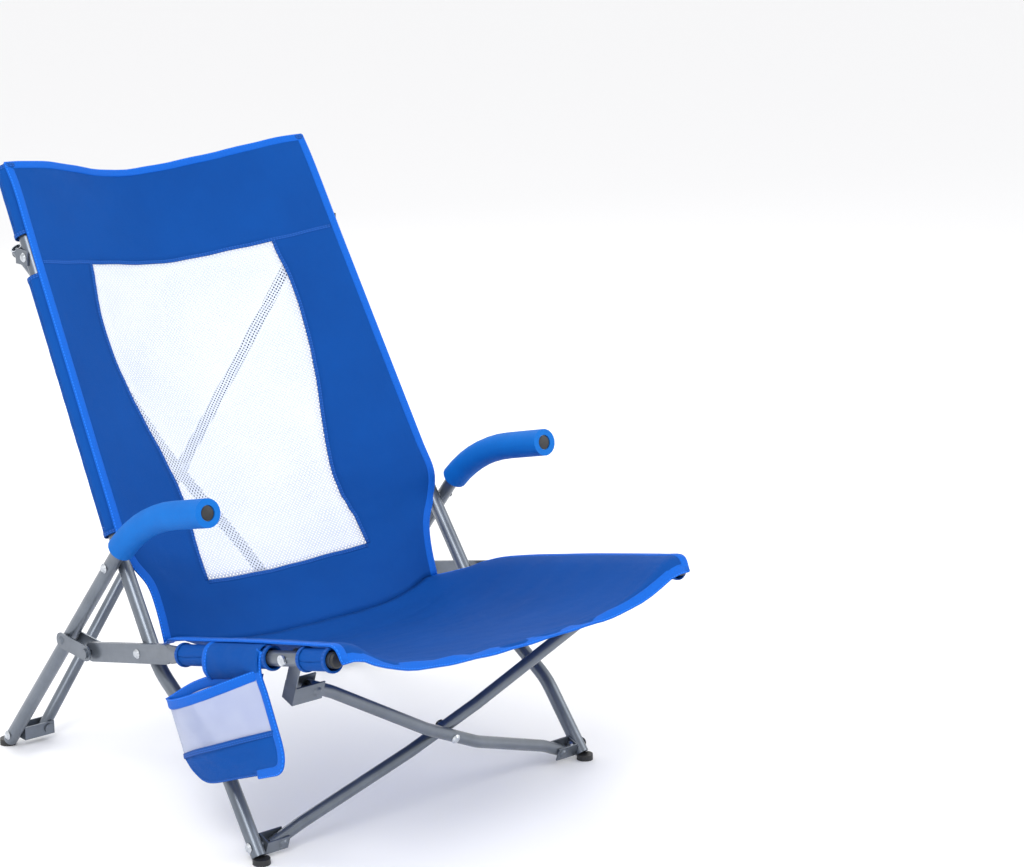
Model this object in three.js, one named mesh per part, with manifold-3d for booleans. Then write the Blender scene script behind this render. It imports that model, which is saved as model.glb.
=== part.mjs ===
// Low folding beach chair: a steel tube frame that closes like an umbrella, with a sling seat.
// Millimetres, +Z up. The sitter faces -Y. Names end in _R on the sitter's right (-X), _L on the left.
import * as THREE from "three";
import * as BufferGeometryUtils from "three/addons/utils/BufferGeometryUtils.js";
import Module from "manifold-3d";

const wasm = await Module();
wasm.setup();

// ---------------------------------------------------------------- driving sizes
const FRAME_TUBE = 19; // outer diameter of posts, legs and rails
const CROSS_TUBE = 16; // outer diameter of the crossed tubes
const WALL = 1.3; // tube wall
const RUN_GAP = 0.35; // clearance between pieces that touch on the real chair
const PLUG_GAP = 0.9; // clearance of a plug inside a tube
const SIDE_GAP = 0.9; // clearance beside a leaning tube
const HALF_FOOT = 266; // half width between the posts at the floor
const LEAN = 0.04; // inward lean of the side frames, per unit of height
const LAYER_GAP = 1.6; // space between the post plane and the leg plane
const POST_TOP_Y = 322; // top of the post
const POST_TOP_Z = 772;
const PIVOT_Y = 43.7; // crossing of post and rear leg
const PIVOT_Z = 306.8;
const FOOT_Y = -259; // front foot on the floor
const SHIN_TOP_Y = -185; // upper bend of the front leg's lowest part
const SHIN_TOP_Z = 96;
const KNEE_Y = -38; // bend where the front leg leaves the post
const KNEE_Z = 188;
const KNEE_RADIUS = 90;
const RAIL_PIVOT_Z = 210; // height of the rail's pivot on the post
const REAR_FOOT_Y = 302.7;
const REAR_PIN_Z = 18.7;
const ARM_BEND_Y = -21.5; // corner of the bend from rear leg to armrest
const ARM_TIP_Y = -170;
const ARM_SLOPE = 0.246; // rise of the armrest per unit forward
const ARM_BEND_RADIUS = 250;
const ARM_BEND_STEPS = 8;
const LINK_A = 155.1; // from the post crossing down the rear leg to the link
const LINK_C = 110; // from the rail pivot back to the link
const RAIL_SLOPE = 0.2294; // rise of the rail per unit forward
const RAIL_FRONT_Y = -425; // front end of the rail
const RAIL_HANGER_Y = -337.7; // pivot of the front hanger
const HANGER_DROP = 52; // from that pivot down to the crossed tube's pin
const FOOT_PIN_INSET = 35; // from the foot's post centre in to the crossed tube's pin
const FOOT_PIVOT_Z = 18;
const POST_LOW_Z = 7; // lower ends of the tubes, inside the feet
const LEG_LOW_Z = 8;
const FRONT_FOOT_H = 7.5; // height of the black feet
const REAR_FOOT_H = 8.5;
const FOOT_WALL = 1.3; // of a foot's cup round its tube
const FRONT_CROSS_JOG = 21; // forward set of the front crossed tube
const REAR_CROSS_JOG = 3; // forward set of the tube behind it
const FRONT_CROSS_BOW = -9; // downward bow of both at their rivet
const BACK_BRACKET_Z = 672.4; // upper bracket of the rear crossed tubes
const BACK_CROSS_JOG = 19; // backward set of one rear crossed tube
const BEND_SPAN = 165; // reach of the rear crossed tube's bends to each side of its rivet
const FRONT_BEND_SPAN = 222;
const BEND_FLAT = 0.24; // share of that reach where the tube runs straight past its rivet
const TUBE_OVERRUN = 11; // crossed tube beyond its pin
const PLATE = 2; // bracket sheet thickness
const STRAP = 1.6; // thinner strap of the hanger
const PIN_R = 3;
const OPEN_GAP = 2.4; // room beside a crossed tube where the joint tree is opened
const HEAD_R = 6.5;
const HEAD_H = 2.8;
const GRIP_D = 36; // foam grip
const FOAM_GAP = 0.5; // between the tube and the foam
const CLOTH = 2.4; // thickness of the cloth solids
const SLEEVE_GAP = 0.7; // between tube and sleeve
const BACK_SAG = 64;
const SEAT_SAG = 34;
const POCKET_LENGTH = 176;
const POCKET_WIDTH = 48;
const POCKET_DEPTH = 92;
const POCKET_OUT = 18; // middle of the pocket outside the rail
const POCKET_MID_Y = -222; // middle of the pocket along the rail

const R_FRAME = FRAME_TUBE / 2;
const R_CROSS = CROSS_TUBE / 2;
const LAYER = FRAME_TUBE + LAYER_GAP;

// ---------------------------------------------------------------- materials
const paint = (color, roughness, metalness) =>
  new THREE.MeshStandardMaterial({ color, roughness, metalness });
const STEEL = paint(0x6e7580, 0.45, 0.6);
const RIVET = paint(0xb9bcc0, 0.3, 0.9);
const BLACK = paint(0x17181a, 0.6, 0);
const FOAM = paint(0x0a6fd6, 0.9, 0);
const CANVAS = paint(0x0a46a8, 0.85, 0);

// ---------------------------------------------------------------- helpers
const V = (x, y, z) => new THREE.Vector3(x, y, z);
const postX = (z) => HALF_FOOT - LEAN * z;
const legX = (z) => postX(z) + LAYER;
const model = new THREE.Group();

const add = (name, geometry, material) => {
  const mesh = new THREE.Mesh(geometry, material);
  mesh.name = name;
  model.add(mesh);
  return mesh;
};

const toSolid = (geometry) => {
  const bare = new THREE.BufferGeometry();
  bare.setAttribute("position", geometry.getAttribute("position").clone());
  if (geometry.index) bare.setIndex(geometry.index.clone());
  const merged = BufferGeometryUtils.mergeVertices(bare, 1e-4);
  const mesh = new wasm.Mesh({
    numProp: 3,
    vertProperties: new Float32Array(merged.getAttribute("position").array),
    triVerts: new Uint32Array(merged.index.array),
  });
  return new wasm.Manifold(mesh);
};

const toGeometry = (solid) => {
  const mesh = solid.getMesh();
  const geometry = new THREE.BufferGeometry();
  geometry.setAttribute("position", new THREE.BufferAttribute(new Float32Array(mesh.vertProperties), 3));
  geometry.setIndex(new THREE.BufferAttribute(new Uint32Array(mesh.triVerts), 1));
  const flat = geometry.toNonIndexed();
  flat.computeVertexNormals();
  return flat;
};

const join = (...geometries) => toGeometry(wasm.Manifold.union(geometries.map(toSolid)));

const cut = (geometry, ...tools) =>
  toGeometry(toSolid(geometry).subtract(wasm.Manifold.union(tools.map(toSolid))));

const mirrorX = (geometry) => {
  const source = geometry.index ? geometry.toNonIndexed() : geometry.clone();
  const p = source.getAttribute("position");
  for (let i = 0; i < p.count; i += 3) {
    const b = [p.getX(i + 1), p.getY(i + 1), p.getZ(i + 1)];
    p.setXYZ(i, -p.getX(i), p.getY(i), p.getZ(i));
    p.setXYZ(i + 1, -p.getX(i + 2), p.getY(i + 2), p.getZ(i + 2));
    p.setXYZ(i + 2, -b[0], b[1], b[2]);
  }
  source.computeVertexNormals();
  return source;
};

// Adds the piece drawn on the left side, and its mirror on the right.
const addPair = (name, geometry, material) => {
  add(`${name}_L`, geometry, material);
  add(`${name}_R`, mirrorX(geometry), material);
};

// A path of straight runs joined by round bends. Its steps fall on the ends of the runs.
class BentPath extends THREE.Curve {
  constructor(points, radius, bendSteps = 5) {
    super();
    this.nodes = [points[0].clone()];
    this.tangents = [points[1].clone().sub(points[0]).normalize()];
    for (let i = 1; i < points.length - 1; i += 1) {
      const into = points[i].clone().sub(points[i - 1]).normalize();
      const out = points[i + 1].clone().sub(points[i]).normalize();
      const angle = into.angleTo(out);
      const setback = radius * Math.tan(angle / 2);
      const start = points[i].clone().addScaledVector(into, -setback);
      const centre = start.clone();
      const normal = out.clone().addScaledVector(into, -out.dot(into)).normalize();
      centre.addScaledVector(normal, radius);
      for (let s = 0; s <= bendSteps; s += 1) {
        const a = (angle * s) / bendSteps;
        const node = centre.clone().addScaledVector(normal, -radius * Math.cos(a));
        node.addScaledVector(into, radius * Math.sin(a));
        this.nodes.push(node);
        const tangent = into.clone().multiplyScalar(Math.cos(a));
        tangent.addScaledVector(normal, Math.sin(a));
        this.tangents.push(tangent.normalize());
      }
    }
    const last = points[points.length - 1];
    this.nodes.push(last.clone());
    this.tangents.push(last.clone().sub(points[points.length - 2]).normalize());
    this.steps = this.nodes.length - 1;
  }
  // The same path from one of its nodes on, and longer at its far end.
  from(first, extra) {
    const part = Object.create(BentPath.prototype);
    Object.assign(part, this, {
      nodes: this.nodes.slice(first).map((p) => p.clone()),
      tangents: this.tangents.slice(first),
    });
    part.steps = part.nodes.length - 1;
    part.nodes[part.steps].addScaledVector(part.tangents[part.steps], extra);
    return part;
  }
  at(list, t) {
    const f = Math.min(Math.max(t, 0), 1) * this.steps;
    const i = Math.min(Math.floor(f + 1e-9), this.steps - 1);
    return list[i].clone().lerp(list[i + 1], Math.min(Math.max(f - i, 0), 1));
  }
  getPoint(t) {
    return this.at(this.nodes, t);
  }
  getPointAt(t) {
    return this.getPoint(t);
  }
  getTangent(t) {
    return this.at(this.tangents, t).normalize();
  }
  getTangentAt(t) {
    return this.getTangent(t);
  }
  getSpacedPoints(divisions) {
    return Array.from({ length: divisions + 1 }, (_, i) => this.getPoint(i / divisions));
  }
}

const circle = (radius, sides) =>
  Array.from({ length: sides }, (_, i) => {
    const a = (2 * Math.PI * i) / sides;
    return new THREE.Vector2(radius * Math.cos(a), radius * Math.sin(a));
  });

const ring = (outer, inner, sides = 16, innerSides = 10) => {
  const shape = new THREE.Shape(circle(outer, sides));
  if (inner > 0) shape.holes.push(new THREE.Path(circle(inner, innerSides)));
  return shape;
};

const alongPath = (shape, path) =>
  new THREE.ExtrudeGeometry(shape, { steps: path.steps, extrudePath: path, bevelEnabled: false });

const tube = (points, outer, wall, radius = 60, bendSteps = 5) =>
  alongPath(ring(outer, outer - wall), new BentPath(points, radius, bendSteps));

// A cylinder from a to b.
const rod = (a, b, radius, sides = 12) => {
  const geometry = new THREE.CylinderGeometry(radius, radius, a.distanceTo(b), sides);
  const turn = new THREE.Quaternion();
  turn.setFromUnitVectors(V(0, 1, 0), b.clone().sub(a).normalize());
  geometry.applyQuaternion(turn);
  const middle = a.clone().add(b).multiplyScalar(0.5);
  return geometry.translate(middle.x, middle.y, middle.z);
};

// A rivet with a pan head outside each of two faces. a and b are the faces' points on its axis.
const rivet = (a, b, gap = RUN_GAP) => {
  const length = a.distanceTo(b);
  const low = -length / 2 - gap;
  const high = length / 2 + gap;
  const profile = [
    [0, low - HEAD_H],
    [HEAD_R * 0.62, low - HEAD_H * 0.9],
    [HEAD_R, low],
    [PIN_R, low],
    [PIN_R, high],
    [HEAD_R, high],
    [HEAD_R * 0.62, high + HEAD_H * 0.9],
    [0, high + HEAD_H],
  ].map(([r, h]) => new THREE.Vector2(r, h));
  const geometry = new THREE.LatheGeometry(profile, 12);
  const turn = new THREE.Quaternion();
  turn.setFromUnitVectors(V(0, 1, 0), b.clone().sub(a).normalize());
  geometry.applyQuaternion(turn);
  const middle = a.clone().add(b).multiplyScalar(0.5);
  return geometry.translate(middle.x, middle.y, middle.z);
};

// The half of a rivet that stays where the joint tree is opened: one head, and a shank to face a.
const openRivet = (a, b) => {
  const along = b.clone().sub(a).normalize();
  const face = b.clone().addScaledVector(along, RUN_GAP);
  return join(
    rod(a, face.clone().addScaledVector(along, 0.5), PIN_R),
    rod(face, face.clone().addScaledVector(along, HEAD_H), HEAD_R),
  );
};

// Only the heads, where the joint tree is opened and the crossed tube is free.
const headAt = (point, outward) =>
  rod(point, point.clone().addScaledVector(outward, HEAD_H), HEAD_R, 12);

// A hole for a pin at a point, along a direction.
const drill = (point, direction, reach = 15) =>
  rod(
    point.clone().addScaledVector(direction, -reach),
    point.clone().addScaledVector(direction, reach),
    PIN_R + RUN_GAP,
    10,
  );

// A plate drawn as a shape in (along, across), set by its middle, its two directions and thickness.
const plate = (shape, middle, along, across, thickness = PLATE) => {
  const geometry = new THREE.ExtrudeGeometry(shape, {
    depth: thickness,
    bevelEnabled: false,
    curveSegments: 6,
  });
  geometry.translate(0, 0, -thickness / 2);
  const normal = along.clone().cross(across);
  geometry.applyMatrix4(new THREE.Matrix4().makeBasis(along, across, normal));
  return geometry.translate(middle.x, middle.y, middle.z);
};

const stadium = (length, radius) => {
  const shape = new THREE.Shape();
  shape.absarc(length, 0, radius, -Math.PI / 2, Math.PI / 2, false);
  shape.absarc(0, 0, radius, Math.PI / 2, (3 * Math.PI) / 2, false);
  shape.closePath();
  return shape;
};

const slab = (length, width) => {
  const shape = new THREE.Shape();
  shape.moveTo(-length / 2, -width / 2);
  shape.lineTo(length / 2, -width / 2);
  shape.lineTo(length / 2, width / 2);
  shape.lineTo(-length / 2, width / 2);
  shape.closePath();
  return shape;
};

// A U of sheet: a wall across the end of a crossed tube, and two ears on each side of the tube.
// inward points from the wall along the ears, up runs along the wall, and normal crosses the ears.
const channel = (wallPoint, inward, up, height, earLength, lowest, gap = RUN_GAP) => {
  const normal = inward.clone().cross(up).normalize();
  const half = R_CROSS + gap + PLATE;
  const u = new THREE.Shape();
  u.moveTo(0, -half);
  u.lineTo(earLength, -half);
  u.lineTo(earLength, -half + PLATE);
  u.lineTo(PLATE, -half + PLATE);
  u.lineTo(PLATE, half - PLATE);
  u.lineTo(earLength, half - PLATE);
  u.lineTo(earLength, half);
  u.lineTo(0, half);
  u.closePath();
  const geometry = new THREE.ExtrudeGeometry(u, { depth: height, bevelEnabled: false });
  geometry.translate(0, 0, lowest);
  geometry.applyMatrix4(new THREE.Matrix4().makeBasis(inward, normal, up));
  // the basis is mirrored when inward, normal and up are left-handed
  const fixed = inward.clone().cross(normal).dot(up) < 0 ? flip(geometry) : geometry;
  return fixed.translate(wallPoint.x, wallPoint.y, wallPoint.z);
};

const flip = (geometry) => {
  const source = geometry.index ? geometry.toNonIndexed() : geometry;
  const p = source.getAttribute("position");
  for (let i = 0; i < p.count; i += 3) {
    const b = [p.getX(i + 1), p.getY(i + 1), p.getZ(i + 1)];
    p.setXYZ(i + 1, p.getX(i + 2), p.getY(i + 2), p.getZ(i + 2));
    p.setXYZ(i + 2, b[0], b[1], b[2]);
  }
  source.computeVertexNormals();
  return source;
};

const X = V(1, 0, 0);

// ---------------------------------------------------------------- pivots
const postSlope = (POST_TOP_Y - PIVOT_Y) / (POST_TOP_Z - PIVOT_Z);
const postY = (z) => PIVOT_Y + postSlope * (z - PIVOT_Z);
const lowSlope = (PIVOT_Y - KNEE_Y) / (PIVOT_Z - KNEE_Z);
const shinSlope = (SHIN_TOP_Y - FOOT_Y) / SHIN_TOP_Z;
const legSlope = (REAR_FOOT_Y - PIVOT_Y) / PIVOT_Z;
const legY = (z) => PIVOT_Y + legSlope * (PIVOT_Z - z);
const onPost = (y, z) => V(postX(z), y, z);
const onLeg = (y, z) => V(legX(z), y, z);

const crossing = V(0, PIVOT_Y, PIVOT_Z);
const footPivot = V(0, FOOT_Y + shinSlope * FOOT_PIVOT_Z, FOOT_PIVOT_Z);
const railPivot = V(0, KNEE_Y + lowSlope * (RAIL_PIVOT_Z - KNEE_Z), RAIL_PIVOT_Z);
const railY = (y) => RAIL_PIVOT_Z + RAIL_SLOPE * (railPivot.y - y);
const railStep = 1 / Math.hypot(1, RAIL_SLOPE);
const linkC = V(0, railPivot.y + LINK_C * railStep, RAIL_PIVOT_Z - LINK_C * railStep * RAIL_SLOPE);
const legStep = 1 / Math.hypot(1, legSlope);
const linkA = V(0, PIVOT_Y + LINK_A * legStep * legSlope, PIVOT_Z - LINK_A * legStep);
const hangerPivot = V(0, RAIL_HANGER_Y, railY(RAIL_HANGER_Y));
const rearPin = V(0, legY(REAR_PIN_Z), REAR_PIN_Z);
const backPivot = V(0, postY(BACK_BRACKET_Z), BACK_BRACKET_Z);

// ---------------------------------------------------------------- side frames
const post = cut(
  tube(
    [
      onPost(FOOT_Y + shinSlope * POST_LOW_Z, POST_LOW_Z),
      onPost(SHIN_TOP_Y, SHIN_TOP_Z),
      onPost(KNEE_Y, KNEE_Z),
      onPost(PIVOT_Y, PIVOT_Z),
      onPost(POST_TOP_Y, POST_TOP_Z),
    ],
    R_FRAME,
    WALL,
    KNEE_RADIUS,
    3,
  ),
  ...[crossing, footPivot, railPivot, backPivot].map((p) => drill(onPost(p.y, p.z), X)),
);
addPair("post", post, STEEL);

const armTipZ = (y) => legZAtBend + ARM_SLOPE * (ARM_BEND_Y - y);
const legZAtBend = PIVOT_Z + (PIVOT_Y - ARM_BEND_Y) / legSlope;
const armPath = new BentPath(
  [
    onLeg(legY(LEG_LOW_Z), LEG_LOW_Z),
    onLeg(ARM_BEND_Y, legZAtBend),
    onLeg(ARM_TIP_Y, armTipZ(ARM_TIP_Y)),
  ],
  ARM_BEND_RADIUS,
  ARM_BEND_STEPS,
);
const leg = cut(
  alongPath(ring(R_FRAME, R_FRAME - WALL), armPath),
  ...[crossing, linkA, rearPin].map((p) => drill(onLeg(p.y, p.z), X)),
);
addPair("leg_arm", leg, STEEL);

// The rail is round, and pressed flat behind its front part.
const railFlatY = railPivot.y - 62;
const railRoundY = railFlatY - 34;
const onRail = (y) => onLeg(y, railY(y));
const railDir = onRail(RAIL_FRONT_Y).sub(onRail(railPivot.y)).normalize();
const railUp = X.clone().cross(railDir).normalize().multiplyScalar(-1);
const flatHalf = 3.6;
const flatWide = R_FRAME * 1.32;
const railFlat = plate(
  stadium(onRail(railFlatY).distanceTo(onLeg(linkC.y, linkC.z)), flatWide),
  onLeg(linkC.y, linkC.z),
  railDir,
  railUp,
  flatHalf * 2,
);
const discAt = (y, scaleX, scaleUp) => {
  const points = circle(1, 16).map((p) =>
    onRail(y).addScaledVector(X, p.x * scaleX).addScaledVector(railUp, p.y * scaleUp),
  );
  return points.map((p) => [p.x, p.y, p.z]);
};
const railNeck = wasm.Manifold.hull([
  ...discAt(railFlatY + 4, flatHalf * 0.92, flatWide * 0.9),
  ...discAt(railFlatY - 8, flatHalf * 1.12, flatWide * 0.97),
  ...discAt(railRoundY, R_FRAME - 0.25, R_FRAME - 0.25),
  ...discAt(railRoundY - 4, R_FRAME - 0.45, R_FRAME - 0.45),
]);
const railRound = alongPath(
  ring(R_FRAME, R_FRAME - WALL),
  new BentPath([onRail(railRoundY), onRail(RAIL_FRONT_Y)], 1),
);
const rail = cut(
  join(railFlat, toGeometry(railNeck), railRound),
  ...[railPivot, linkC, hangerPivot].map((p) => drill(onLeg(p.y, p.z), X)),
);
addPair("seat_rail", rail, STEEL);

// Two plates and the spacer rivet that holds them on the rear leg, as one riveted piece.
const linkReach = linkA.distanceTo(linkC);
const linkDir = linkC.clone().sub(linkA).normalize();
const linkUp = X.clone().cross(linkDir).normalize();
const linkHalf = R_FRAME + SIDE_GAP + PLATE / 2;
const linkPlate = (side) =>
  plate(
    stadium(linkReach, R_FRAME + 1),
    onLeg(linkA.y, linkA.z).addScaledVector(X, side * linkHalf),
    linkDir,
    linkUp,
  );
const linkFace = (side) => onLeg(linkC.y, linkC.z).addScaledVector(X, side * (linkHalf + PLATE / 2 - 0.2));
const linkPiece = join(
  linkPlate(1),
  linkPlate(-1),
  headAt(linkFace(1), X),
  headAt(linkFace(-1), X.clone().negate()),
  rivet(
    onLeg(linkA.y, linkA.z).addScaledVector(X, -linkHalf - PLATE / 2),
    onLeg(linkA.y, linkA.z).addScaledVector(X, linkHalf + PLATE / 2),
    -0.2,
  ),
);
addPair("link", linkPiece, STEEL);

addPair(
  "rivet_post_leg",
  rivet(
    onPost(PIVOT_Y, PIVOT_Z).addScaledVector(X, -R_FRAME),
    onLeg(PIVOT_Y, PIVOT_Z).addScaledVector(X, R_FRAME),
  ),
  RIVET,
);
addPair(
  "rivet_post_rail",
  rivet(
    onPost(railPivot.y, railPivot.z).addScaledVector(X, -R_FRAME),
    onLeg(railPivot.y, railPivot.z).addScaledVector(X, flatHalf),
  ),
  RIVET,
);

// ---------------------------------------------------------------- feet, grips and plugs
const shinDir = onPost(SHIN_TOP_Y, SHIN_TOP_Z).sub(onPost(FOOT_Y, 0)).normalize();
const frontFoot = (() => {
  const at = onPost(FOOT_Y, 0);
  const block = new THREE.CylinderGeometry(R_FRAME + FOOT_WALL, R_FRAME + FOOT_WALL + 0.3, FRONT_FOOT_H, 20);
  block.rotateX(Math.PI / 2);
  block.translate(at.x, at.y, FRONT_FOOT_H / 2);
  const low = onPost(FOOT_Y + shinSlope * POST_LOW_Z, POST_LOW_Z);
  const bore = rod(
    low.clone().addScaledVector(shinDir, -0.5),
    low.clone().addScaledVector(shinDir, 40),
    R_FRAME + RUN_GAP,
    20,
  );
  return cut(block, bore);
})();
addPair("front_foot", frontFoot, BLACK);

const legDir = onLeg(PIVOT_Y, PIVOT_Z).sub(onLeg(REAR_FOOT_Y, 0)).normalize();
const rearFoot = (() => {
  const at = onLeg(legY(0), 0);
  const block = new THREE.CylinderGeometry(R_FRAME + FOOT_WALL, R_FRAME + FOOT_WALL + 0.3, REAR_FOOT_H, 20);
  block.rotateX(Math.PI / 2);
  block.translate(at.x, at.y, REAR_FOOT_H / 2);
  const low = onLeg(legY(LEG_LOW_Z), LEG_LOW_Z);
  const bore = rod(
    low.clone().addScaledVector(legDir, -0.5),
    low.clone().addScaledVector(legDir, 40),
    R_FRAME + RUN_GAP,
    20,
  );
  return cut(block, bore);
})();
addPair("rear_foot", rearFoot, BLACK);

// The foam grip follows the arm from just past the start of its bend to the tip.
const armTip = onLeg(ARM_TIP_Y, armTipZ(ARM_TIP_Y));
const armDir = armTip.clone().sub(onLeg(ARM_BEND_Y, legZAtBend)).normalize();
const gripPath = armPath.from(2, 2);
addPair("grip", alongPath(ring(GRIP_D / 2, R_FRAME + FOAM_GAP, 20, 16), gripPath), FOAM);

const plugAt = (tip, direction, outer, depth) => {
  const profile = [
    [0, -8],
    [R_FRAME - WALL - PLUG_GAP, -8],
    [R_FRAME - WALL - PLUG_GAP, RUN_GAP],
    [outer, RUN_GAP],
    [outer, depth * 0.6],
    [outer * 0.8, depth],
    [0, depth],
  ].map(([r, h]) => new THREE.Vector2(r, h));
  const geometry = new THREE.LatheGeometry(profile, 14);
  const turn = new THREE.Quaternion().setFromUnitVectors(V(0, 1, 0), direction);
  geometry.applyQuaternion(turn);
  return geometry.translate(tip.x, tip.y, tip.z);
};
addPair("arm_plug", plugAt(armTip, armDir, R_FRAME - 0.6, 1.6), BLACK);
addPair("rail_plug", plugAt(onRail(RAIL_FRONT_Y), railDir, R_FRAME, 4), BLACK);

// ---------------------------------------------------------------- front crossed tubes
const frontUp = hangerPivot.clone().sub(footPivot).normalize();
const frontNormal = X.clone().cross(frontUp).normalize(); // towards the sitter's feet
const footPinX = postX(FOOT_PIVOT_Z) - FOOT_PIN_INSET;
const hangerPinZ = hangerPivot.clone().addScaledVector(frontUp, -HANGER_DROP);
const hangerPinX = footPinX; // so that the tubes' rivet stays in place as they close
const footPinL = V(footPinX, footPivot.y, footPivot.z);
const hangerPinL = V(hangerPinX, hangerPinZ.y, hangerPinZ.z);
const flipX = (p) => V(-p.x, p.y, p.z);

// A crossed tube from a low pin to a high pin, with its middle set off along normal.
const crossTube = (low, high, normal, set, wide) => {
  const dir = high.clone().sub(low).normalize();
  const middle = low.clone().lerp(high, crossShare(low, high));
  const points = [low.clone().addScaledVector(dir, -TUBE_OVERRUN)];
  if (wide > 0) {
    points.push(middle.clone().addScaledVector(dir, -wide));
    points.push(middle.clone().addScaledVector(dir, -wide * BEND_FLAT).add(set));
    points.push(middle.clone().addScaledVector(dir, wide * BEND_FLAT).add(set));
    points.push(middle.clone().addScaledVector(dir, wide));
  }
  points.push(high.clone().addScaledVector(dir, TUBE_OVERRUN));
  const pins = [low, high].map((p) => drill(p, normal));
  pins.push(drill(middle.clone().add(set), normal));
  return cut(alongPath(ring(R_CROSS, R_CROSS - WALL, 14, 8), new BentPath(points, 90, 2)), ...pins);
};
// The two tubes of a pair meet where x is 0.
const crossShare = (low, high) => -low.x / (high.x - low.x);

const frontSet = (jog) =>
  frontNormal.clone().multiplyScalar(jog).addScaledVector(frontUp, FRONT_CROSS_BOW);
add(
  "cross_front_a",
  crossTube(flipX(footPinL), hangerPinL, frontNormal, frontSet(REAR_CROSS_JOG), FRONT_BEND_SPAN),
  STEEL,
);
add(
  "cross_front_b",
  crossTube(footPinL, flipX(hangerPinL), frontNormal, frontSet(FRONT_CROSS_JOG), FRONT_BEND_SPAN),
  STEEL,
);
const frontMiddle = flipX(footPinL)
  .lerp(hangerPinL, crossShare(flipX(footPinL), hangerPinL))
  .addScaledVector(frontUp, FRONT_CROSS_BOW);
add(
  "rivet_cross_front",
  rivet(
    frontMiddle.clone().addScaledVector(frontNormal, REAR_CROSS_JOG - R_CROSS),
    frontMiddle.clone().addScaledVector(frontNormal, FRONT_CROSS_JOG + R_CROSS),
  ),
  RIVET,
);

// A pin fixed in a bracket's ears, through the crossed tube, with a head at each end.
const earHalf = R_CROSS + RUN_GAP + PLATE;
const fixedPin = (point, normal) =>
  rivet(
    point.clone().addScaledVector(normal, -earHalf),
    point.clone().addScaledVector(normal, earHalf),
    -0.2,
  );
const openPin = (point, normal) => {
  const reach = R_CROSS + OPEN_GAP + PLATE - 0.2;
  return [
    headAt(point.clone().addScaledVector(normal, reach), normal),
    headAt(point.clone().addScaledVector(normal, -reach), normal.clone().negate()),
  ];
};

const LEFT_IN = V(-1, 0, 0);
const footWall = V(postX(FOOT_PIVOT_Z) - R_FRAME - SIDE_GAP, footPivot.y, footPivot.z);
const footReach = FOOT_PIN_INSET - R_FRAME - SIDE_GAP + 9;
const footBracket = join(
  cut(channel(footWall, LEFT_IN, frontUp, 18, footReach, -9), drill(footWall, X)),
  fixedPin(footPinL, frontNormal),
);
addPair("foot_bracket", footBracket, STEEL);
addPair(
  "rivet_foot",
  rivet(
    footWall.clone().addScaledVector(X, -PLATE),
    V(postX(FOOT_PIVOT_Z) + R_FRAME, footPivot.y, footPivot.z),
  ),
  RIVET,
);

const hangerWall = V(legX(hangerPivot.z) - R_FRAME - SIDE_GAP, hangerPivot.y, hangerPivot.z);
const hangerReach = hangerWall.x - hangerPinX + 9;
const hangerEars = channel(
  hangerWall.clone().addScaledVector(frontUp, -HANGER_DROP),
  LEFT_IN,
  frontUp,
  24,
  hangerReach,
  -12,
);
const strapDir = frontUp.clone().negate();
const hangerStrap = plate(
  stadium(HANGER_DROP - 4, earHalf - 0.4),
  hangerWall.clone().addScaledVector(X, -PLATE / 2),
  strapDir,
  strapDir.clone().cross(X),
  STRAP,
);
const hanger = join(
  hangerEars,
  hangerStrap,
  fixedPin(hangerPinL, frontNormal),
  headAt(hangerWall.clone().addScaledVector(X, -PLATE / 2), LEFT_IN),
);
addPair("rail_hanger", hanger, STEEL);
addPair(
  "rivet_hanger",
  openRivet(
    V(legX(hangerPivot.z) - R_FRAME, hangerPivot.y, hangerPivot.z),
    V(legX(hangerPivot.z) + R_FRAME, hangerPivot.y, hangerPivot.z),
  ),
  RIVET,
);

// ---------------------------------------------------------------- rear crossed tubes
const BACKWARD = V(0, 1, 0);
const saddleGap = 17.6; // from the post's rivet back to the web
const saddleHalf = R_FRAME + SIDE_GAP;
const backPinY = backPivot.y + saddleGap + PLATE + RUN_GAP + R_CROSS;
const backPinL = V(postX(backPivot.z), backPinY, backPivot.z);
const rearPinX = backPinL.x; // for the same reason
const rearPinL = V(rearPinX, rearPin.y, rearPin.z);
const backUp = V(0, backPinY - rearPin.y, backPivot.z - REAR_PIN_Z).normalize();
const backNormal = backUp.clone().cross(X).normalize(); // backwards

const saddle = (() => {
  const u = new THREE.Shape();
  const w = saddleHalf + PLATE;
  u.moveTo(-w, -9);
  u.lineTo(-saddleHalf, -9);
  u.lineTo(-saddleHalf, saddleGap);
  u.lineTo(saddleHalf, saddleGap);
  u.lineTo(saddleHalf, -9);
  u.lineTo(w, -9);
  u.lineTo(w, saddleGap + PLATE);
  u.lineTo(-w, saddleGap + PLATE);
  u.closePath();
  const geometry = new THREE.ExtrudeGeometry(u, { depth: 20, bevelEnabled: false });
  geometry.translate(postX(backPivot.z), backPivot.y, backPivot.z - 10);
  return cut(geometry, drill(onPost(backPivot.y, backPivot.z), X));
})();
const webFace = V(backPinL.x, backPivot.y + saddleGap, backPivot.z);
const backPinRear = webFace.clone().addScaledVector(BACKWARD, PLATE + RUN_GAP + 2 * R_CROSS);
const shank = rod(
  webFace.clone().addScaledVector(BACKWARD, 0.5),
  backPinRear.clone().addScaledVector(BACKWARD, RUN_GAP + 0.5),
  PIN_R,
);
const rearHead = rod(
  backPinRear.clone().addScaledVector(BACKWARD, RUN_GAP),
  backPinRear.clone().addScaledVector(BACKWARD, RUN_GAP + HEAD_H),
  HEAD_R,
);
addPair("back_bracket", join(saddle, shank, rearHead), STEEL);
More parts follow.
